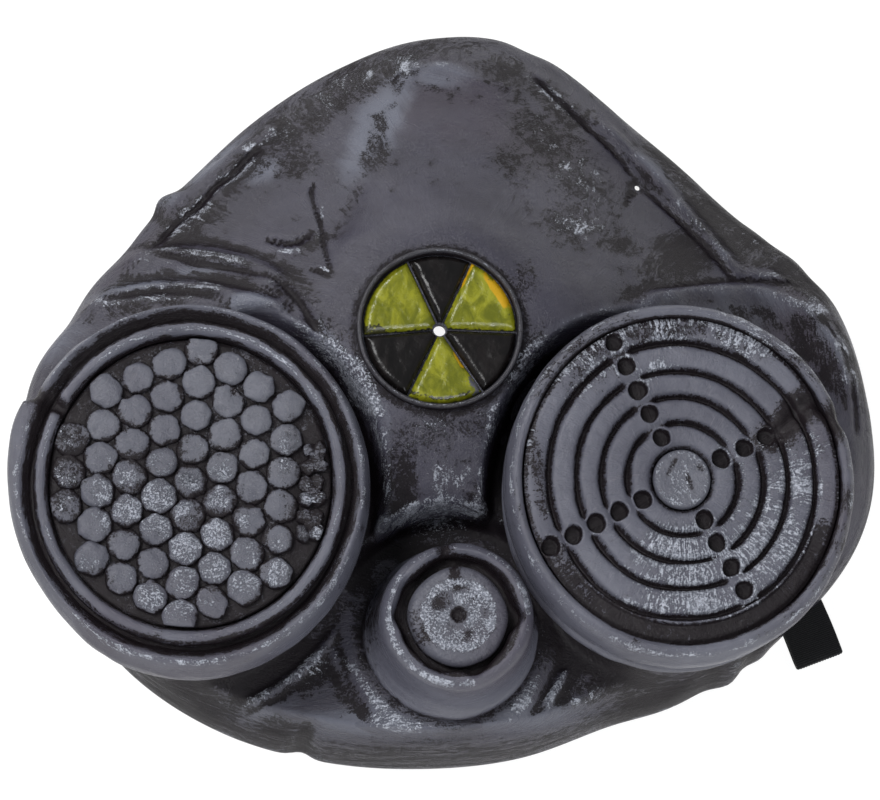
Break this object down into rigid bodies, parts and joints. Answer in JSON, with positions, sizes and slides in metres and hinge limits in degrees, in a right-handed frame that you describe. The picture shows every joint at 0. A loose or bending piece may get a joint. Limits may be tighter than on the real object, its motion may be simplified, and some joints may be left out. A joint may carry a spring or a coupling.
{
  "type": "gas mask style costume mask",
  "caption": "Cast latex half-face costume mask in the style of a respirator, with round filter drums, an outlet valve, a round badge and an elastic head strap",
  "frame": {"origin": "on the table, under the middle of the mask's outline", "axes": "+X across the mask to the side of the grooved filter, +Y to the nose bridge, +Z out of the face, away from the wearer"},
  "size_m": [0.223, 0.1976, 0.0813],
  "materials": {
    "skin_latex": "satin blue-grey paint with a dark wash and silver rubbed edges",
    "rubbed_latex": "blue-grey paint rubbed with silver",
    "dark_latex": "dark grey satin paint",
    "yellow_paint": "glossy green-yellow paint",
    "black_paint": "glossy black paint",
    "elastic": "matt black woven elastic",
    "rivet_steel": "plain steel"
  },
  "bodies": {
    "root": {"face_shell": "skin_latex", "left_filter_housing": "skin_latex", "left_filter_ring": "skin_latex", "left_filter_honeycomb": "rubbed_latex", "right_filter_housing": "skin_latex", "right_filter_grille": "skin_latex", "right_filter_hub": "rubbed_latex", "valve_housing": "skin_latex", "valve_button": "rubbed_latex", "badge_ring": "dark_latex", "badge_field_right": "yellow_paint", "badge_field_top": "black_paint", "badge_field_left": "yellow_paint", "badge_field_lower_left": "black_paint", "badge_field_bottom": "yellow_paint", "badge_field_lower_right": "black_paint", "head_strap": "elastic", "strap_rivet_right": "rivet_steel", "strap_rivet_left": "rivet_steel"}
  },
  "joints": []
}
